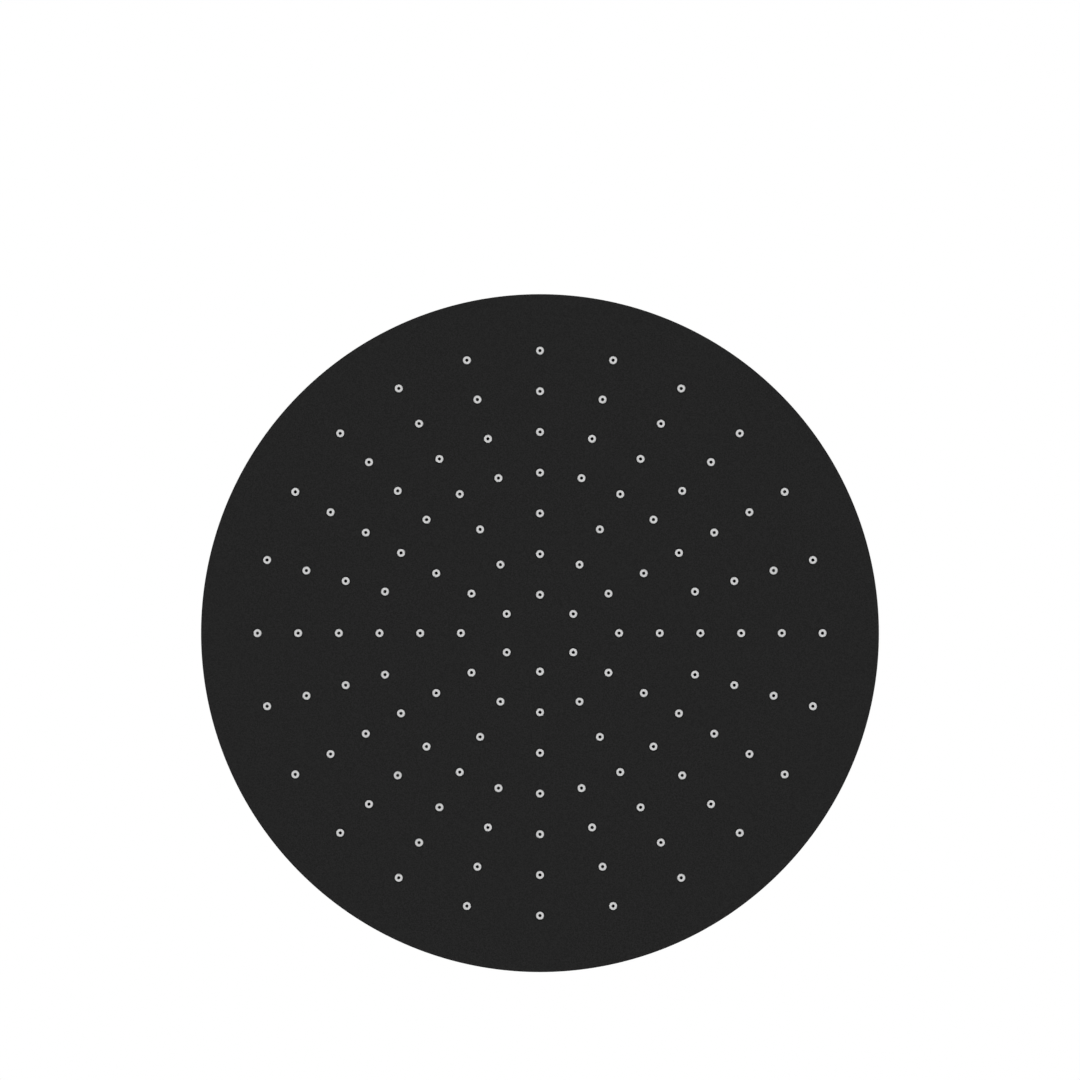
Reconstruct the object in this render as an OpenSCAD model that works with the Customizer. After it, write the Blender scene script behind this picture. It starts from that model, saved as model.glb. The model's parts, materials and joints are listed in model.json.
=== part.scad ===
// Round rainfall shower head on a ball joint, with a G1/2 female inlet.
// Frame: origin at the centre of the inlet's mouth, +Z up and out of it, millimetres.
// The nozzles point down, so every height below the mouth is a negative z.

/* [Head] */
// Diameter of the head
head_d = 300; // [296:2:330]
// Height of the tray, from its face to the top of its rim
tray_h = 8; // [8:0.5:12]
// Thickness of the tray's face and rim
tray_wall = 1; // [0.8:0.1:1.2]
// Rounding of the tray's lower outer edge
tray_edge_r = 0.4; // [0.2:0.1:0.7]
// Thickness of the top cover
cover_t = 1; // [0.8:0.1:1.2]
// Height by which the cover stands proud of the tray's rim
cover_proud = 0.5; // [0.2:0.1:0.7]

/* [Nozzles] */
// Radius of the innermost ring of nozzles
ring_first_r = 17; // [17:0.5:20]
// Distance from one ring to the next
ring_pitch = 18; // [16:0.5:18.5]
// Diameter of a nozzle
nozzle_d = 3.5; // [3:0.1:4]
// Diameter of a nozzle's jet hole
jet_d = 1.4; // [0.8:0.1:1.6]
// Length of a nozzle below the face
nozzle_out = 2.5; // [1.5:0.1:4]

/* [Inlet] */
// Outer diameter of the inlet socket
socket_d = 23; // [23:0.5:26]
// Length of the socket down to its tapered lower edge
socket_len = 17; // [17:0.5:20]
// Distance across the socket's wrench flats
socket_flats = 22; // [22:0.1:22.8]
// Height of the plain round band above the flats
socket_band = 11; // [10:0.5:13]
// Diameter of the inlet's thread at its root, 20.955 for G1/2
thread_d = 20.955; // [20.9:0.005:21]
// Length of the inlet's thread
thread_len = 11; // [9:0.5:11]

/* [Ball joint] */
// Diameter of the neck above the ball
neck_d = 18; // [17:0.5:18]
// Diameter of the ball
ball_d = 24; // [24:0.1:24.2]
// Diameter of the waterway through the neck and the ball
waterway_d = 10; // [8:0.5:10]
// Diameter of the collar nut's upper part
nut_d = 31; // [31:0.5:33]
// Diameter of the collar nut's foot
nut_foot_d = 34; // [34:0.5:36]
// Distance across the wrench flats of the collar nut's foot
nut_flats = 32; // [32:0.1:33]

/* [Hidden] */

$fn = 96;
// How far a cutting shape runs past what it cuts
over = 1;
// Segments in a quarter of a rounded edge
edge_steps = 6;
// Running clearance between parts that slide on each other
running = 0.05;
// Gap between parts that are assembled together
slip = 0.1;

// Heights of the swivel, from the mouth down
taper_h = 1.35;
neck_to_ball = 10.35;
neck_z = -socket_len - taper_h;
ball_r = ball_d / 2;
ball_z = neck_z - neck_to_ball;
ball_cut = 10;

// The collar nut's heights above and below the ball's centre
nut_rise = 6.2;
nut_body_drop = 5.1;
nut_shoulder_h = 1.4;
nut_drop = 14.85;
nut_top_z = ball_z + nut_rise;
nut_step_z = ball_z - nut_body_drop;
nut_foot_z = nut_step_z - nut_shoulder_h;
nut_bottom_z = ball_z - nut_drop;
gasket_t = 0.45;

// Heights of the head
cover_top_z = nut_bottom_z - gasket_t;
cover_low_z = cover_top_z - cover_t;
rim_z = cover_top_z - cover_proud;
face_z = rim_z - tray_h;
floor_z = face_z + tray_wall;
flange_t = 1;
retainer_low_z = floor_z + flange_t;
retainer_t = 1;
retainer_z = retainer_low_z + retainer_t;
tip_z = face_z - nozzle_out;
seal_h = 1.3;
seal_z = cover_low_z - seal_h;

// Radii of the head
head_r = head_d / 2;
inner_r = head_r - tray_wall;
fill_r = inner_r - slip;
spacer_w = 3;

// Stack of the inlet, below the thread
washer_t = 2;
screen_t = 1;
insert_r = 9.6;
washer_bore_r = 6;
regulator_r = 7;
regulator_h = 4.5;
regulator_gap = 0.5;
washer_z = -thread_len;
screen_z = washer_z - washer_t;
regulator_z = screen_z - screen_t;
o_ring_r = 1.1;
o_ring_ring_r = 3.95;
regulator_floor_t = 1;
regulator_wall = 0.8;

// Bearing, seal and spigot
bearing_t = 0.7;
bearing_low = 0.4;
bearing_high = 3.7;
cavity_r = ball_r + bearing_t + 2 * running;
nut_lip = 1.4;
mouth_r = cavity_r - nut_lip;
seal_r = cavity_r;
seat_r = seal_r + slip;
seal_top_z = ball_z - 4.5;
seal_low_z = ball_z - 9.5;
backing_t = 1;
backing_r = 7.6;
seat_z = seal_low_z - backing_t - running;
spigot_r = 14;
spigot_top_z = ball_z - 5.8;
tail_r = 10;
tail_z = cover_low_z - 2.5;
tail_bore_r = 6;
lock_nut_t = 2;
lock_nut_flats = 27;

// Nozzle rings: how many nozzles, and the angle of the first one
RINGS = [[6, 30], [12, 0], [12, 0], [24, 0], [24, 0], [24, 0], [24, 0]];
nozzle_r = nozzle_d / 2;
nozzle_flange_r = 2.6;
feed_r = 1.2;

// Support posts: how many, and the ring of nozzles that they stand just outside, counted from 1
POSTS = [[6, 2], [12, 5]];
post_r = 3;

black = [0.14, 0.14, 0.14];
dark_rubber = [0.07, 0.07, 0.08];
grey_silicone = [0.72, 0.72, 0.72];
white_plastic = [0.86, 0.86, 0.83];
black_plastic = [0.10, 0.10, 0.11];
brass_yellow = [0.78, 0.62, 0.32];
steel = [0.66, 0.67, 0.69];

// Points along an arc, from one angle to another
function arc(centre, r, from, to, steps = edge_steps) = [
    for (i = [0 : steps])
        let (a = from + (to - from) * i / steps) centre + r * [cos(a), sin(a)]
];

function ring_r(i) = ring_first_r + i * ring_pitch;

// Copies of the children round the axis
module on_circle(count, r, first_angle = 0) {
    for (i = [0 : count - 1])
        rotate([0, 0, first_angle + i * 360 / count]) translate([r, 0, 0]) children();
}

// A cylinder between two heights, the lower one first
module rod(r, low, high) {
    translate([0, 0, low]) cylinder(r = r, h = high - low);
}

// A flat ring between two heights
module washer(outer, inner, low, high) {
    difference() {
        rod(outer, low, high);
        rod(inner, low - over, high + over);
    }
}

// Two cuts that leave parallel flats, facing X, or Y with turn = 90
module flat_cuts(across, low, high, turn = 0) {
    reach = 20;
    for (side = [0, 180])
        rotate([0, 0, turn + side])
            translate([across / 2, -reach, low]) cube([reach, 2 * reach, high - low]);
}

// Socket, neck and ball, turned in one piece
module inlet_ball() {
    edge = 0.4;
    color(black) difference() {
        union() {
            difference() {
                rotate_extrude() polygon(concat(
                    [[0, 0]],
                    arc([socket_d / 2 - edge, -edge], edge, 90, 0),
                    [[socket_d / 2, -socket_len], [neck_d / 2, neck_z], [0, neck_z]]
                ));
                flat_cuts(socket_flats, neck_z - over, -socket_band);
            }
            rod(neck_d / 2, ball_z, neck_z + over / 2);
            translate([0, 0, ball_z]) sphere(r = ball_r);
        }
        rod(ball_d, ball_z - ball_d, ball_z - ball_cut);
        rod(thread_d / 2, -thread_len, over);
        rod(insert_r, regulator_z, -thread_len + over);
        rod(regulator_r + slip, regulator_z - regulator_h - regulator_gap, regulator_z + over);
        rod(waterway_d / 2, ball_z - ball_d, 0);
    }
}

// Washer that the shower arm's end seals on
module inlet_washer() {
    color(dark_rubber) washer(insert_r - slip, washer_bore_r, screen_z, washer_z);
}

// Strainer: a rim round a plate of small holes
module filter_screen() {
    pitch = 1.6;
    hole_r = 0.55;
    rim_r = 8.4;
    plate_t = 0.4;
    rows = floor(rim_r / (pitch * sin(60)));
    color(steel) {
        washer(insert_r - slip, rim_r, regulator_z, screen_z);
        difference() {
            rod(rim_r + slip, regulator_z, regulator_z + plate_t);
            for (row = [-rows : rows], i = [-rows : rows])
                let (x = (i + abs(row % 2) / 2) * pitch, y = row * pitch * sin(60))
                    if (norm([x, y]) < rim_r - pitch)
                        translate([x, y, 0])
                            rod(hole_r, regulator_z - over, regulator_z + plate_t + over);
        }
    }
}

// Flow limiter: a cup with a fluted post, and holes in its floor
module flow_regulator() {
    low = regulator_z - regulator_h;
    top = low + regulator_floor_t;
    cup_r = regulator_r - regulator_wall;
    post_top = regulator_z - regulator_wall;
    post = o_ring_ring_r - o_ring_r - running;
    flutes = 8;
    flute_r = 0.5;
    flute_foot = 0.3;
    hole_r = 0.6;
    hole_ring_r = 5.3;
    color(white_plastic) difference() {
        rotate_extrude() polygon([
            [0, low], [regulator_r, low], [regulator_r, regulator_z], [cup_r, regulator_z],
            [cup_r, top], [post, top], [post, post_top], [0, post_top]
        ]);
        on_circle(flutes, post) rod(flute_r, top + flute_foot, regulator_z);
        on_circle(flutes, hole_ring_r) rod(hole_r, low - over, top + over / 2);
    }
}

// Elastic ring that squeezes against the limiter's flutes
module regulator_o_ring() {
    z = regulator_z - regulator_h + regulator_floor_t + o_ring_r;
    color(dark_rubber) translate([0, 0, z])
        rotate_extrude() translate([o_ring_ring_r, 0]) circle(r = o_ring_r, $fn = 32);
}

// Plastic ring between the ball and the nut, concentric with both
module bearing_ring() {
    inner = ball_r + running;
    color(black_plastic) difference() {
        intersection() {
            translate([0, 0, ball_z]) sphere(r = inner + bearing_t);
            rod(ball_d, ball_z + bearing_low, ball_z + bearing_high);
        }
        translate([0, 0, ball_z]) sphere(r = inner);
    }
}

// Rubber cup that the ball's underside slides on
module ball_seal() {
    lip_r = 7.75;
    color(dark_rubber) difference() {
        washer(seal_r, lip_r, seal_low_z, seal_top_z);
        translate([0, 0, ball_z]) sphere(r = ball_r + running);
    }
}

// Flat ring behind the rubber cup
module seal_backing_ring() {
    color(white_plastic)
        washer(seal_r, backing_r, seal_low_z - backing_t, seal_low_z);
}

// Collar that traps the ball, with a wider foot and two flats
module collar_nut() {
    top_edge = 0.65;
    foot_edge = 1.6;
    body_r = nut_d / 2;
    foot_r = nut_foot_d / 2;
    color(black) difference() {
        rotate_extrude() polygon(concat(
            [[0, nut_top_z]],
            arc([body_r - top_edge, nut_top_z - top_edge], top_edge, 90, 0),
            [[body_r, nut_step_z], [foot_r, nut_foot_z]],
            arc([foot_r - foot_edge, nut_bottom_z + foot_edge], foot_edge, 0, -90),
            [[0, nut_bottom_z]]
        ));
        flat_cuts(nut_flats, nut_bottom_z - over, nut_step_z, 90);
        translate([0, 0, ball_z]) sphere(r = cavity_r);
        rod(mouth_r, ball_z, nut_top_z + over);
        rod(seat_r, spigot_top_z - slip, ball_z);
        rod(spigot_r + running, nut_bottom_z - over, spigot_top_z + slip);
    }
}

// Threaded cup under the ball, with a tail through the cover
module inlet_spigot() {
    chamfer = 0.5;
    color(brass_yellow) rotate_extrude() polygon([
        [seat_r, spigot_top_z], [spigot_r - chamfer, spigot_top_z],
        [spigot_r, spigot_top_z - chamfer], [spigot_r, nut_bottom_z],
        [tail_r, nut_bottom_z], [tail_r, tail_z], [tail_bore_r, tail_z],
        [tail_bore_r, ball_z - ball_r - slip], [backing_r, ball_z - ball_r - slip],
        [backing_r, seat_z], [seat_r, seat_z]
    ]);
}

// Thin ring that seals the spigot to the cover
module spigot_gasket() {
    inset = 0.2;
    color(dark_rubber) washer(spigot_r - inset, tail_r + running, cover_top_z, nut_bottom_z);
}

// Hexagon nut inside the chamber
module spigot_lock_nut() {
    color(brass_yellow) difference() {
        translate([0, 0, cover_low_z - lock_nut_t])
            cylinder(r = lock_nut_flats / 2 / cos(30), h = lock_nut_t, $fn = 6);
        rod(tail_r + running, cover_low_z - lock_nut_t - over, cover_low_z + over);
    }
}

// Flat cover, set inside the tray's rim
module top_cover() {
    edge = 0.2;
    color(black) difference() {
        rotate_extrude() polygon(concat(
            [[0, cover_top_z]],
            arc([fill_r - edge, cover_top_z - edge], edge, 90, 0, 3),
            [[fill_r, cover_low_z], [0, cover_low_z]]
        ));
        rod(tail_r + running, cover_low_z - over, cover_top_z + over);
    }
}

// Tray with the drilled face
module face_tray() {
    color(black) difference() {
        rotate_extrude() polygon(concat(
            [[0, face_z]],
            arc([head_r - tray_edge_r, face_z + tray_edge_r], tray_edge_r, -90, 0),
            [[head_r, rim_z], [inner_r, rim_z], [inner_r, floor_z], [0, floor_z]]
        ));
        for (i = [0 : len(RINGS) - 1])
            on_circle(RINGS[i][0], ring_r(i), RINGS[i][1])
                rod(nozzle_r + running, face_z - over, floor_z + over);
    }
}

// Ring round the chamber, under the rim seal
module spacer_ring() {
    color(black_plastic) washer(fill_r, fill_r - spacer_w, retainer_z, seal_z);
}

// Rubber ring under the cover's edge
module rim_seal() {
    seal_w = 2;
    color(dark_rubber) washer(fill_r, fill_r - seal_w, seal_z, cover_low_z);
}

// Plate that holds the nozzles' flanges on the face
module nozzle_retainer() {
    foot_w = 2;
    color(black_plastic) {
        difference() {
            rod(fill_r, retainer_low_z, retainer_z);
            for (i = [0 : len(RINGS) - 1])
                on_circle(RINGS[i][0], ring_r(i), RINGS[i][1])
                    rod(feed_r, retainer_low_z - over, retainer_z + over);
        }
        washer(fill_r, fill_r - foot_w, floor_z, retainer_low_z + slip);
    }
}

// Posts between the retainer and the cover
module support_posts() {
    color(black_plastic)
        for (group = POSTS)
            on_circle(group[0], ring_r(group[1] - 0.5))
                rod(post_r, retainer_z, cover_low_z);
}

// One soft nozzle: flange, shaft and jet hole with a funnel inlet
module nozzle() {
    jet_r = jet_d / 2;
    tip_edge = 0.2;
    funnel_h = 1.5;
    rotate_extrude($fn = 32) polygon(concat(
        [[jet_r, tip_z]],
        arc([nozzle_r - tip_edge, tip_z + tip_edge], tip_edge, -90, 0, 3),
        [[nozzle_r, floor_z], [nozzle_flange_r, floor_z],
         [nozzle_flange_r, retainer_low_z], [feed_r, retainer_low_z],
         [jet_r, retainer_low_z - funnel_h]]
    ));
}

// All the nozzles of one ring, counted from 1 at the centre
module nozzles(ring) {
    color(grey_silicone)
        on_circle(RINGS[ring - 1][0], ring_r(ring - 1), RINGS[ring - 1][1]) nozzle();
}

inlet_ball();
inlet_washer();
filter_screen();
flow_regulator();
regulator_o_ring();
bearing_ring();
ball_seal();
seal_backing_ring();
collar_nut();
inlet_spigot();
spigot_gasket();
spigot_lock_nut();
top_cover();
face_tray();
spacer_ring();
rim_seal();
nozzle_retainer();
support_posts();
for (ring = [1 : len(RINGS)])
    nozzles(ring);
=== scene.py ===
"""Looks of the round rainfall shower head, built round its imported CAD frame.

Profiles and sizes are in millimetres, in the CAD's own frame: origin at the inlet's mouth, +Z up.
Every mesh is written in metres.
"""

import json
import math
from collections import namedtuple

import bmesh
import bpy
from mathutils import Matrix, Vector
from mathutils.geometry import delaunay_2d_cdt


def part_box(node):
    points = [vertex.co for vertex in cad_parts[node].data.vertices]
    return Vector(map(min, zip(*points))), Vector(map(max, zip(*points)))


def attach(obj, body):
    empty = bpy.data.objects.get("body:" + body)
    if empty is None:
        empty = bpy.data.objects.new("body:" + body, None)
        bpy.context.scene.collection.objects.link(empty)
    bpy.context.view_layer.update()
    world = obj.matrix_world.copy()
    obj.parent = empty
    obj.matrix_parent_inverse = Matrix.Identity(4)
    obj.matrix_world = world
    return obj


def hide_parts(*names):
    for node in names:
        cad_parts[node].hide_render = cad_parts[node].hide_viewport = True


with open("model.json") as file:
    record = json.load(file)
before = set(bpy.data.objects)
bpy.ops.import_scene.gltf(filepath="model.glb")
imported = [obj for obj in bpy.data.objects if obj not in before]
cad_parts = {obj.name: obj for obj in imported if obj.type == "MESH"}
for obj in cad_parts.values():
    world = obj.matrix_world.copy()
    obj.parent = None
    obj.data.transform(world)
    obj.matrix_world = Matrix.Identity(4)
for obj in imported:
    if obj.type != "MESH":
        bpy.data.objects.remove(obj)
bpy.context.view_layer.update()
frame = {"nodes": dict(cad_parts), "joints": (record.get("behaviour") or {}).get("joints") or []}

MM = 0.001
FULL_TURN = 2 * math.pi

# ---------------------------------------------------------------- sizes read from the frame


def span(node):
    """Lowest height, highest height and largest radius of a CAD node, in millimetres."""
    low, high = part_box(node)
    reach = max(math.hypot(v.co.x, v.co.y) for v in frame["nodes"][node].data.vertices)
    return round(low.z / MM, 3), round(high.z / MM, 3), round(reach / MM, 3)


TIP_Z, RETAINER_LOW_Z = span("nozzles_ring_7")[:2]
FACE_Z, RIM_Z, HEAD_R = span("face_tray")
COVER_LOW_Z, COVER_TOP_Z, COVER_R = span("top_cover")
NUT_BOTTOM_Z, NUT_TOP_Z, NUT_FOOT_R = span("collar_nut")
BALL_CUT_Z, MOUTH_Z, BALL_R = span("inlet_ball")
SCREEN_LOW_Z, SCREEN_TOP_Z, SCREEN_R = span("filter_screen")
WASHER_LOW_Z, WASHER_TOP_Z, WASHER_R = span("inlet_washer")
GASKET_R = span("spigot_gasket")[2]
BALL_Z = frame["joints"][0]["pos_m"][2] / MM

# ---------------------------------------------------------------- sizes of the looks

# The tray and the nozzles. RINGS has each ring's number of nozzles and first angle in degrees.
TRAY_WALL = 1.0
FLOOR_Z = FACE_Z + TRAY_WALL
RINGS = ((6, 30), (12, 0), (12, 0), (24, 0), (24, 0), (24, 0), (24, 0))
RING_FIRST_R = 17.0
RING_PITCH = 18.0
NOZZLE_R = 1.75
HOLE_R = NOZZLE_R + 0.05
JET_R = 0.7

# The hole in the cover and the gasket, for the spigot's tail
TAIL_HOLE_R = 10.05

# The inlet: socket, neck, and what its inside is cut for
SOCKET_R = 11.5
SOCKET_FLATS = 22.0
SOCKET_BAND_Z = -11.0
SOCKET_LOW_Z = -17.0
NECK_R = 9.0
NECK_Z = -18.35
THREAD_R = 10.4775
THREAD_CORE_R = 9.3155
THREAD_PITCH = 1.814
THREAD_END_Z = -11.0
WASHER_BORE_R = 6.0
INSERT_R = 9.6
REGULATOR_R = 7.1
REGULATOR_SEAT_Z = -14.0
REGULATOR_LOW_Z = -19.0
WATERWAY_R = 5.0

# The collar nut
NUT_R = 15.5
NUT_FLATS = 32.0
NUT_STEP_Z = BALL_Z - 5.1
NUT_FOOT_Z = NUT_STEP_Z - 1.4
NUT_MOUTH_R = 11.4
NUT_CAVITY_R = 12.8
NUT_THREAD_R = 14.05
NUT_SEAT_R = 12.9
NUT_THREAD_TOP_Z = BALL_Z - 5.7

# ---------------------------------------------------------------- profiles and turned meshes

# How far the guard points of a rounding lie from it, and the angle from which an edge is sharp
GUARD = 0.06
SHARP_ANGLE = math.radians(32)

# Two parallel flats: the distance across them, the radius of the round they cut, their lowest and
# highest height, and the direction that one of them faces.
Flats = namedtuple("Flats", "across radius low high facing")


def arc(centre, radius, start, end, steps):
    """Points (radius, height) on an arc between two angles, in degrees from +radius to +height."""
    angles = [math.radians(start + (end - start) * i / steps) for i in range(steps + 1)]
    return [(centre[0] + radius * math.cos(a), centre[1] + radius * math.sin(a)) for a in angles]


def rounded(corners, steps=5, guard=GUARD):
    """A closed profile from corners (radius, height, rounding).

    Each rounding becomes an arc between two guard points, which keep the shading of the flats even.
    """
    points = []
    count = len(corners)
    for i, corner in enumerate(corners):
        here = Vector(corner[:2])
        if len(corner) < 3:
            points.append(here)
            continue
        radius = corner[2]
        before = (Vector(corners[i - 1][:2]) - here).normalized()
        after = (Vector(corners[(i + 1) % count][:2]) - here).normalized()
        half = before.angle(after) / 2
        reach = radius / math.tan(half)
        middle = here + (before + after).normalized() * radius / math.sin(half)
        first = (here + before * reach - middle).normalized()
        last = (here + after * reach - middle).normalized()
        points.append(here + before * (reach + guard))
        points += [middle + first.slerp(last, k / steps) * radius for k in range(steps + 1)]
        points.append(here + after * (reach + guard))
    return [(p.x, p.y) for p in points]


def place(name, mesh, body, material, replaces=()):
    """Links a mesh as a piece: smooth, with sharp edges by angle, riding on a CAD body."""
    for polygon in mesh.polygons:
        polygon.use_smooth = True
    mesh.set_sharp_from_angle(angle=SHARP_ANGLE)
    mesh.materials.append(material)
    piece = bpy.data.objects.new(name, mesh)
    bpy.context.scene.collection.objects.link(piece)
    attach(piece, body)
    if replaces:
        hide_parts(*replaces)


def to_mesh(name, bm):
    """A mesh in metres from a bmesh in millimetres, with its faces turned outwards."""
    bmesh.ops.recalc_face_normals(bm, faces=bm.faces)
    bmesh.ops.scale(bm, vec=(MM, MM, MM), verts=bm.verts)
    mesh = bpy.data.meshes.new(name)
    bm.to_mesh(mesh)
    bm.free()
    return mesh


def round_angles(steps, flats):
    """Angles round a turned piece, with three close together at each edge of its flats."""
    edge_turn = math.radians(0.12)
    angles = [FULL_TURN * i / steps for i in range(steps)]
    if flats:
        corner = math.acos(flats.across / 2 / flats.radius)
        for facing in (flats.facing, flats.facing + math.pi):
            for side in (-corner, corner):
                edge = facing + side
                angles += [(edge + shift) % FULL_TURN for shift in (-edge_turn, 0, edge_turn)]
    return sorted(angles)


def join(bm, low, high):
    """Adds to bm the faces between two closed rows of corners."""
    for corners in zip(low, low[1:] + low[:1], high[1:] + high[:1], high):
        bm.faces.new(corners)


def capped_tube(bm, rows):
    """Adds to bm the skin of a rod from its rows of corners, with its two ends."""
    for low, high in zip(rows, rows[1:]):
        join(bm, low, high)
    bm.faces.new(rows[0])
    bm.faces.new(rows[-1][::-1])


def turn_rows(bm, profile, steps, flats=None, centre=(0, 0)):
    """Adds a closed profile turned round a vertical axis to bm, less its flats if it has any."""
    angles = round_angles(steps, flats)
    rows = []
    for radius, height in profile:
        row = []
        for angle in angles:
            r = radius
            if flats and flats.low <= height <= flats.high:
                r = min(r, flats.across / 2 / max(abs(math.cos(angle - flats.facing)), 1e-6))
            x, y = centre[0] + r * math.cos(angle), centre[1] + r * math.sin(angle)
            row.append(bm.verts.new((x, y, height)))
        rows.append(row)
    for low, high in zip(rows, rows[1:] + rows[:1]):
        join(bm, low, high)


def turned(name, profile, steps, flats=None):
    """A mesh of one closed profile turned round Z."""
    bm = bmesh.new()
    turn_rows(bm, profile, steps, flats)
    return to_mesh(name, bm)


def ring_profile(outer, inner, low, high, edge):
    """A rectangular section with four rounded corners."""
    corners = [(inner, low), (outer, low), (outer, high), (inner, high)]
    return rounded([(*corner, edge) for corner in corners])


def nozzle_centres(ring):
    """Centres of one ring of nozzles, counted from 0."""
    count, first = RINGS[ring]
    radius = RING_FIRST_R + ring * RING_PITCH
    angles = [math.radians(first + 360 * i / count) for i in range(count)]
    return [(radius * math.cos(a), radius * math.sin(a)) for a in angles]


# ---------------------------------------------------------------- materials


def ranged(tree, value, ends, new_ends):
    """A node that carries a value from one range, as its two ends, to another."""
    node = tree.nodes.new("ShaderNodeMapRange")
    for name, end in zip(("From Min", "From Max", "To Min", "To Max"), (*ends, *new_ends)):
        node.inputs[name].default_value = end
    tree.links.new(value, node.inputs["Value"])
    return node


def surface(
    name, dark, light, rough, cloud, grain, depth, strength, metallic=0.0, specular=0.5, spread=0.2
):
    """A procedural material: clouded colour and roughness, and a fine bump.

    dark and light are the colour's ends, and rough holds the roughness's. cloud is the size of the
    colour's patches, and grain and depth are the bump's size and height, all in millimetres. The
    smaller the spread, the sharper the patches.
    """
    material = bpy.data.materials.new(name)
    material.use_nodes = True
    tree = material.node_tree
    shader = tree.nodes["Principled BSDF"]
    shader.inputs["Metallic"].default_value = metallic
    shader.inputs["Specular IOR Level"].default_value = specular
    coordinates = tree.nodes.new("ShaderNodeTexCoord")

    def noise(size, detail):
        """A noise fixed to the piece, with patches of a size in millimetres."""
        texture = tree.nodes.new("ShaderNodeTexNoise")
        texture.inputs["Scale"].default_value = 1 / (size * MM)
        texture.inputs["Detail"].default_value = detail
        tree.links.new(coordinates.outputs["Object"], texture.inputs["Vector"])
        return texture.outputs["Fac"]

    clouds = noise(cloud, 4.0)
    colours = tree.nodes.new("ShaderNodeValToRGB")
    colours.color_ramp.elements[0].position = 0.5 - spread
    colours.color_ramp.elements[0].color = (*dark, 1)
    colours.color_ramp.elements[1].position = 0.5 + spread
    colours.color_ramp.elements[1].color = (*light, 1)
    tree.links.new(clouds, colours.inputs["Fac"])
    tree.links.new(colours.outputs["Color"], shader.inputs["Base Color"])

    roughness = ranged(tree, clouds, (0.3, 0.7), rough)
    tree.links.new(roughness.outputs["Result"], shader.inputs["Roughness"])

    bump = tree.nodes.new("ShaderNodeBump")
    bump.inputs["Strength"].default_value = strength
    bump.inputs["Distance"].default_value = depth * MM
    tree.links.new(noise(grain, 2.0), bump.inputs["Height"])
    tree.links.new(bump.outputs["Normal"], shader.inputs["Normal"])
    return material


def grey(value):
    """A neutral colour."""
    return (value, value, value)


MATTE_BLACK = surface(
    "matte_black_coat",
    dark=grey(0.0028),
    light=grey(0.0130),
    rough=(0.49, 0.54),
    cloud=0.45,
    grain=0.35,
    depth=0.012,
    strength=0.6,
    specular=0.077,
    spread=0.12,
)
SILICONE = surface(
    "nozzle_silicone",
    dark=grey(0.565),
    light=grey(0.65),
    rough=(0.36, 0.54),
    cloud=0.6,
    grain=0.3,
    depth=0.01,
    strength=0.5,
    specular=0.4,
    spread=0.14,
)
RUBBER = surface(
    "black_rubber",
    dark=(0.012, 0.012, 0.013),
    light=(0.022, 0.022, 0.024),
    rough=(0.6, 0.8),
    cloud=1.5,
    grain=0.3,
    depth=0.01,
    strength=0.6,
)
GASKET = surface(
    "gasket_rubber",
    dark=grey(0.05),
    light=grey(0.17),
    rough=(0.6, 0.8),
    cloud=0.5,
    grain=0.3,
    depth=0.01,
    strength=0.6,
    spread=0.12,
)
STEEL = surface(
    "strainer_steel",
    dark=(0.50, 0.51, 0.53),
    light=(0.62, 0.63, 0.65),
    rough=(0.25, 0.4),
    cloud=2.0,
    grain=0.2,
    depth=0.002,
    strength=0.5,
    metallic=1.0,
)
WHITE_PLASTIC = surface(
    "white_plastic",
    dark=(0.70, 0.70, 0.66),
    light=(0.78, 0.78, 0.74),
    rough=(0.35, 0.5),
    cloud=3.0,
    grain=0.5,
    depth=0.005,
    strength=0.5,
)
BLACK_PLASTIC = surface(
    "black_plastic",
    dark=grey(0.014),
    light=grey(0.022),
    rough=(0.4, 0.55),
    cloud=2.0,
    grain=0.4,
    depth=0.006,
    strength=0.5,
)
BRASS = surface(
    "turned_brass",
    dark=(0.62, 0.42, 0.17),
    light=(0.74, 0.53, 0.25),
    rough=(0.22, 0.38),
    cloud=2.5,
    grain=0.3,
    depth=0.003,
    strength=0.5,
    metallic=1.0,
)
NODE_LOOKS = {
    "flow_regulator": WHITE_PLASTIC,
    "regulator_o_ring": RUBBER,
    "bearing_ring": BLACK_PLASTIC,
    "ball_seal": RUBBER,
    "seal_backing_ring": WHITE_PLASTIC,
    "inlet_spigot": BRASS,
    "spigot_lock_nut": BRASS,
    "spacer_ring": BLACK_PLASTIC,
    "rim_seal": RUBBER,
    "nozzle_retainer": BLACK_PLASTIC,
    "support_posts": BLACK_PLASTIC,
}
for node, look in NODE_LOOKS.items():
    materials = frame["nodes"][node].data.materials
    materials.clear()
    materials.append(look)

# ---------------------------------------------------------------- the face tray


def circle(centre, radius, count):
    """Points evenly round a circle."""
    x, y = centre
    angles = [FULL_TURN * i / count for i in range(count)]
    return [Vector((x + radius * math.cos(a), y + radius * math.sin(a))) for a in angles]


def drilled_disc(outline, holes):
    """A flat disc with holes in it, cut into triangles.

    It returns the disc's points, its triangles, and a table from the corners of the outline and the
    holes, counted in that order, to the points.
    """
    loops = [outline] + holes
    corners, edges = [], []
    for loop in loops:
        first = len(corners)
        corners += loop
        edges += [(first + i, first + (i + 1) % len(loop)) for i in range(len(loop))]
    points, _, triangles, origins, _, _ = delaunay_2d_cdt(corners, edges, [], 0, 1e-6)
    loop_of = [n for n, loop in enumerate(loops) for _ in loop]

    def in_hole(triangle):
        """Whether all three corners lie on the loop of one hole."""
        owners = {loop_of[origins[i][0]] for i in triangle}
        return len(owners) == 1 and owners != {0}

    kept = [t for t in triangles if not in_hole(t)]
    point_of = {origin[0]: i for i, origin in enumerate(origins)}
    return points, kept, point_of


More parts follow.
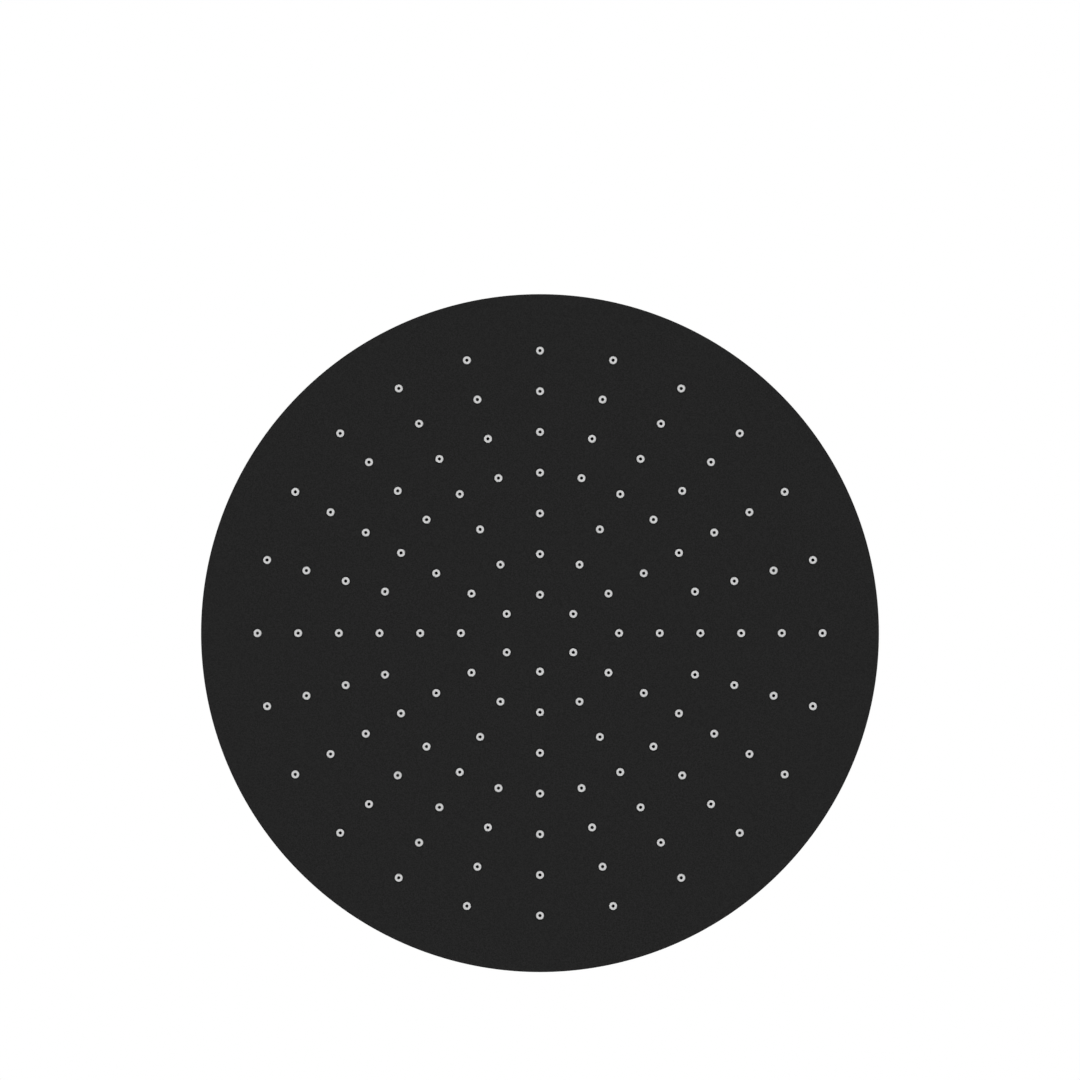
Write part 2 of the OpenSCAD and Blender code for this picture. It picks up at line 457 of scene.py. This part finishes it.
def make_tray():
    """The tray: a drilled face, a rounded lower edge and a thin rim, as one closed mesh."""
    steps = 360
    hole_steps = 32
    rim_band = 2.0
    hole_edge = 0.12
    hole_guard = HOLE_R + hole_edge + 0.04
    centres = [c for ring in range(len(RINGS)) for c in nozzle_centres(ring)]
    holes = [circle(centre, hole_guard, hole_steps) for centre in centres]
    points, triangles, point_of = drilled_disc(circle((0, 0), HEAD_R - rim_band, steps), holes)

    bm = bmesh.new()
    sheets = []
    for height in (FACE_Z, FLOOR_Z):
        verts = [bm.verts.new((p.x, p.y, height)) for p in points]
        for t in triangles:
            bm.faces.new([verts[i] for i in t])
        sheets.append(verts)

    def bridge(first, profile, centre, count):
        """Joins a loop of the face to the same loop of the tray's floor by way of a profile."""
        loop = [point_of[first + i] for i in range(count)]
        face, floor = [[verts[i] for i in loop] for verts in sheets]
        rows = [face]
        for radius, height in profile:
            ring = circle(centre, radius, count)
            rows.append([bm.verts.new((p.x, p.y, height)) for p in ring])
        rows.append(floor)
        for low, high in zip(rows, rows[1:]):
            join(bm, low, high)

    edge = 0.4
    rim_edge = 0.2
    inner_r = HEAD_R - TRAY_WALL
    rim = (
        [(HEAD_R - edge - GUARD, FACE_Z)]
        + arc((HEAD_R - edge, FACE_Z + edge), edge, -90, 0, 6)
        + [(HEAD_R, FACE_Z + edge + GUARD), (HEAD_R, RIM_Z - rim_edge - GUARD)]
        + arc((HEAD_R - rim_edge, RIM_Z - rim_edge), rim_edge, 0, 90, 4)
        + arc((inner_r + rim_edge, RIM_Z - rim_edge), rim_edge, 90, 180, 4)
        + [(inner_r, RIM_Z - rim_edge - GUARD), (inner_r, FLOOR_Z)]
    )
    bridge(0, rim, (0, 0), steps)
    mouth = arc((HOLE_R + hole_edge, FACE_Z + hole_edge), hole_edge, 270, 180, 3)
    mouth.append((HOLE_R, FLOOR_Z))
    for n, centre in enumerate(centres):
        bridge(steps + n * hole_steps, mouth, centre, hole_steps)
    return to_mesh("tray_shell", bm)


place("tray_shell", make_tray(), "head", MATTE_BLACK, ["face_tray"])

# ---------------------------------------------------------------- the nozzles


def nozzle_profile():
    """One soft nozzle, from its jet hole round the tip and the flange to the funnel inlet."""
    flange_r = 2.6
    funnel_r = 1.2
    funnel_low_z = RETAINER_LOW_Z - 1.5
    return rounded(
        [
            (JET_R, TIP_Z, 0.08),
            (NOZZLE_R, TIP_Z, 0.18),
            (NOZZLE_R, FLOOR_Z),
            (flange_r, FLOOR_Z),
            (flange_r, RETAINER_LOW_Z),
            (funnel_r, RETAINER_LOW_Z),
            (JET_R, funnel_low_z),
        ],
        steps=4,
        guard=0.04,
    )


def make_nozzles(ring):
    """All the nozzles of one ring, counted from 0."""
    bm = bmesh.new()
    for centre in nozzle_centres(ring):
        turn_rows(bm, nozzle_profile(), 32, centre=centre)
    return to_mesh(f"soft_nozzles_{ring + 1}", bm)


for ring in range(len(RINGS)):
    place(
        f"soft_nozzles_{ring + 1}", make_nozzles(ring), "head", SILICONE,
        [f"nozzles_ring_{ring + 1}"]
    )

# ---------------------------------------------------------------- cover, gasket and collar nut

cover_section = ring_profile(COVER_R, TAIL_HOLE_R, COVER_LOW_Z, COVER_TOP_Z, 0.2)
place(
    "cover_disc", turned("cover_disc", cover_section, 360), "head", MATTE_BLACK,
    ["top_cover"]
)
gasket_section = ring_profile(GASKET_R, TAIL_HOLE_R, COVER_TOP_Z, NUT_BOTTOM_Z, 0.12)
place(
    "gasket_ring", turned("gasket_ring", gasket_section, 160), "head", GASKET,
    ["spigot_gasket"]
)


def make_nut():
    """Collar nut: round body, sloping shoulder and a wider foot with two flats."""
    cavity_top = math.degrees(math.acos(NUT_MOUTH_R / NUT_CAVITY_R))
    cavity = arc((0, BALL_Z), NUT_CAVITY_R, 0, cavity_top, 10)
    corners = [
        (NUT_MOUTH_R, NUT_TOP_Z, 0.12),
        (NUT_R, NUT_TOP_Z, 0.65),
        (NUT_R, NUT_STEP_Z, 0.3),
        (NUT_FOOT_R, NUT_FOOT_Z, 0.35),
        (NUT_FOOT_R, NUT_BOTTOM_Z, 1.6),
        (NUT_THREAD_R, NUT_BOTTOM_Z, 0.2),
        (NUT_THREAD_R, NUT_THREAD_TOP_Z),
        (NUT_SEAT_R, NUT_THREAD_TOP_Z),
        (NUT_SEAT_R, BALL_Z),
        *cavity,
    ]
    profile = rounded(corners, steps=8)

    # Rows down the foot's side keep the shading of its flats even
    foot_rows = 12
    low, high = NUT_BOTTOM_Z + 1.8, NUT_FOOT_Z - 0.5
    at = next(i for i, p in enumerate(profile) if p[0] > NUT_FOOT_R - 0.01 and p[1] < low)
    extra = [(NUT_FOOT_R, high + (low - high) * i / foot_rows) for i in range(foot_rows + 1)]
    profile = profile[:at] + extra + profile[at:]
    flats = Flats(NUT_FLATS, NUT_FOOT_R, NUT_BOTTOM_Z - 1, NUT_STEP_Z, math.radians(90))
    return turned("nut_turning", profile, 480, flats)


place("nut_turning", make_nut(), "head", MATTE_BLACK, ["collar_nut"])

# ---------------------------------------------------------------- inlet: socket, neck, ball, thread


def make_inlet():
    """Socket with two flats, tapered under-edge, neck, ball and waterway, as one turned piece."""
    ball_start = math.degrees(math.acos(NECK_R / BALL_R))
    ball_end = math.degrees(math.asin((BALL_CUT_Z - BALL_Z) / BALL_R))
    ball = arc((0, BALL_Z), BALL_R, ball_start, ball_end, 40)
    ledge = 0.04
    corners = [
        (THREAD_R, MOUTH_Z, 0.25),
        (SOCKET_R, MOUTH_Z, 0.4),
        (SOCKET_R, SOCKET_BAND_Z + ledge),
        (SOCKET_R, SOCKET_BAND_Z - ledge),
        (SOCKET_R, SOCKET_LOW_Z, 0.25),
        (NECK_R, NECK_Z, 0.2),
        *ball,
        (WATERWAY_R, BALL_CUT_Z, 0.3),
        (WATERWAY_R, REGULATOR_LOW_Z, 0.2),
        (REGULATOR_R, REGULATOR_LOW_Z),
        (REGULATOR_R, REGULATOR_SEAT_Z, 0.1),
        (INSERT_R, REGULATOR_SEAT_Z),
        (INSERT_R, THREAD_END_Z, 0.1),
        (THREAD_R, THREAD_END_Z),
    ]
    flats = Flats(SOCKET_FLATS, SOCKET_R, NECK_Z, SOCKET_BAND_Z, 0)
    return turned("inlet_turning", rounded(corners, steps=6), 480, flats)


place("inlet_turning", make_inlet(), "inlet", MATTE_BLACK, ["inlet_ball"])


def make_thread():
    """The inlet thread's ridge: a rounded 55 degree section on a helix, faded at both ends."""
    steps = 120
    end_gap = 0.9
    start_z, end_z = MOUTH_Z - end_gap, THREAD_END_Z + end_gap
    turns = (start_z - end_z) / THREAD_PITCH
    count = int(turns * steps)
    fade_steps = steps * 0.5
    root = 0.06
    crest = 0.06
    height = THREAD_R - THREAD_CORE_R
    half = height * math.tan(math.radians(27.5))
    section = [(root, half + root / 2), (0, half)]
    section += [(-height * s, half * (1 - s) + 2 * crest * s) for s in (0.35, 0.8)]
    section += [(-height, crest)]
    section += [(x, -z) for x, z in reversed(section)]
    bm = bmesh.new()
    rows = []
    for i in range(count + 1):
        angle = FULL_TURN * i / steps
        z = start_z - THREAD_PITCH * i / steps
        fade = max(0.02, min(1, i / fade_steps, (count - i) / fade_steps))
        row = []
        for out, up in section:
            r = THREAD_R + (out * fade if out < 0 else out)
            row.append(bm.verts.new((r * math.cos(angle), r * math.sin(angle), z + up * fade)))
        rows.append(row)
    capped_tube(bm, rows)
    return to_mesh("inlet_thread_ridge", bm)


place("inlet_thread_ridge", make_thread(), "inlet", MATTE_BLACK)

# ---------------------------------------------------------------- washer and strainer

washer_section = ring_profile(WASHER_R, WASHER_BORE_R, WASHER_LOW_Z, WASHER_TOP_Z, 0.35)
place(
    "washer_ring", turned("washer_ring", washer_section, 160), "inlet", RUBBER,
    ["inlet_washer"]
)


def make_strainer():
    """A rim, and a plain weave of round wires across it."""
    rim_r = 8.4
    reach = rim_r + 0.3
    wire_r = 0.11
    pitch = 0.75
    sides = 6
    per_cell = 4
    middle = (SCREEN_LOW_Z + SCREEN_TOP_Z) / 2
    bm = bmesh.new()
    turn_rows(bm, ring_profile(SCREEN_R, rim_r, SCREEN_LOW_Z, SCREEN_TOP_Z, 0.2), 120)

    def add_wire(n, across):
        """The n-th wire from the middle, which goes over and under the wires that cross it."""
        offset = n * pitch
        half = math.sqrt(reach * reach - offset * offset)
        count = max(2, int(2 * half / pitch * per_cell))
        sign = (1 if across else -1) * (-1) ** (n % 2)
        rows = []
        for i in range(count + 1):
            along = -half + 2 * half * i / count
            height = middle + sign * wire_r * math.cos(math.pi * along / pitch)
            row = []
            for k in range(sides):
                a = FULL_TURN * k / sides
                side, up = offset + wire_r * math.cos(a), height + wire_r * math.sin(a)
                row.append(bm.verts.new((side, along, up) if across else (along, side, up)))
            rows.append(row)
        capped_tube(bm, rows)

    wires = int(rim_r / pitch)
    for across in (False, True):
        for n in range(-wires, wires + 1):
            add_wire(n, across)
    return to_mesh("strainer", bm)


place("strainer", make_strainer(), "inlet", STEEL, ["filter_screen"])

# ---------------------------------------------------------------- floor, backdrop, lights, camera


def plain(name, value, emission=False):
    """A plain grey studio material."""
    material = bpy.data.materials.new(name)
    material.use_nodes = True
    shader = material.node_tree.nodes["Principled BSDF"]
    shader.inputs["Base Color"].default_value = (*grey(value), 1)
    shader.inputs["Roughness"].default_value = 0.9
    if emission:
        shader.inputs["Base Color"].default_value = (0, 0, 0, 1)
        shader.inputs["Specular IOR Level"].default_value = 0.0
        shader.inputs["Emission Color"].default_value = (*grey(value), 1)
        shader.inputs["Emission Strength"].default_value = 1.0
    return material


def make_stage():
    """A pale round floor well below the head, and a white backdrop. They light nothing."""
    floor_z = -0.80
    floor_r = 6.0
    backdrop_r = 12.0
    bpy.ops.mesh.primitive_circle_add(
        vertices=96, radius=floor_r, fill_type="NGON", location=(0, 0, floor_z)
    )
    floor = bpy.context.object
    floor.name = "studio_floor"
    floor.data.materials.append(plain("studio_floor", 0.52))
    bpy.ops.mesh.primitive_uv_sphere_add(segments=64, ring_count=32, radius=backdrop_r)
    backdrop = bpy.context.object
    backdrop.name = "studio_backdrop"
    backdrop.data.materials.append(plain("studio_backdrop", 1.0, emission=True))
    for stand in (floor, backdrop):
        for ray in ("diffuse", "glossy", "transmission", "volume_scatter", "shadow"):
            setattr(stand, f"visible_{ray}", False)


def soft_light(name, place_at, aim, size, watts):
    """A large square area light aimed at a point."""
    light = bpy.data.lights.new(name, "AREA")
    light.shape = "SQUARE"
    light.size = size
    light.energy = watts
    lamp = bpy.data.objects.new(name, light)
    lamp.location = place_at
    lamp.rotation_euler = (Vector(aim) - Vector(place_at)).to_track_quat("-Z", "Y").to_euler()
    lamp.visible_camera = False
    bpy.context.scene.collection.objects.link(lamp)


# Soft light from all round, as strengths by direction. Above the horizon it is a faint fill and
# wide sides. Each side has its direction as an angle from +X in degrees, the cosines between which
# it fades in, and its strength. Below the horizon it is dim, and bright straight below.
AIR_FILL = 0.075
AIR_SIDES = (
    (-20, (0.2, 0.8), 2.9),
    (0, (-0.1, 0.55), 1.15),
    (180, (0.3, 0.9), 1.6),
)
UNDER_DIM = 0.105
UNDER_BRIGHT = 4.2
UNDER_CONE = (0.85, 0.95)
HORIZON = (-0.02, 0.06)


def make_air():
    """The studio's soft light, as the world's strength by direction."""
    world = bpy.data.worlds.new("studio_air")
    bpy.context.scene.world = world
    world.use_nodes = True
    tree = world.node_tree
    background = tree.nodes["Background"]
    background.inputs["Color"].default_value = (*grey(1.0), 1)
    direction = tree.nodes.new("ShaderNodeTexCoord")

    def turning(towards, cosines, values):
        """A value that goes smoothly between two as the direction turns towards a vector."""
        nearness = tree.nodes.new("ShaderNodeVectorMath")
        nearness.operation = "DOT_PRODUCT"
        nearness.inputs[1].default_value = towards
        tree.links.new(direction.outputs["Generated"], nearness.inputs[0])
        value = ranged(tree, nearness.outputs["Value"], cosines, values)
        value.interpolation_type = "SMOOTHSTEP"
        return value.outputs["Result"]

    fill = tree.nodes.new("ShaderNodeValue")
    fill.outputs["Value"].default_value = AIR_FILL
    above = fill.outputs["Value"]
    for angle, cosines, strength in AIR_SIDES:
        towards = (math.cos(math.radians(angle)), math.sin(math.radians(angle)), 0)
        total = tree.nodes.new("ShaderNodeMath")
        tree.links.new(above, total.inputs[0])
        tree.links.new(turning(towards, cosines, (0, strength)), total.inputs[1])
        above = total.outputs["Value"]

    down = (0, 0, -1)
    blend = tree.nodes.new("ShaderNodeMix")
    tree.links.new(turning(down, HORIZON, (0, 1)), blend.inputs["Factor"])
    tree.links.new(above, blend.inputs["A"])
    tree.links.new(turning(down, UNDER_CONE, (UNDER_DIM, UNDER_BRIGHT)), blend.inputs["B"])
    tree.links.new(blend.outputs["Result"], background.inputs["Strength"])


def make_camera():
    """A parallel view of the face from straight below, with the head low in the frame."""
    frame_width = 0.47785
    head_offset = 0.0412
    height = -0.45
    camera = bpy.data.objects.new("camera", bpy.data.cameras.new("camera"))
    camera.data.type = "ORTHO"
    camera.data.ortho_scale = frame_width
    camera.location = (0, -head_offset, height)
    camera.rotation_euler = (math.pi, 0, 0)
    bpy.context.scene.collection.objects.link(camera)
    bpy.context.scene.camera = camera


make_stage()
make_air()
soft_light("overhead_light", place_at=(0, 0, 2.4), aim=(0, 0, -0.04), size=2.5, watts=37)
make_camera()
bpy.context.scene.view_settings.view_transform = "Standard"
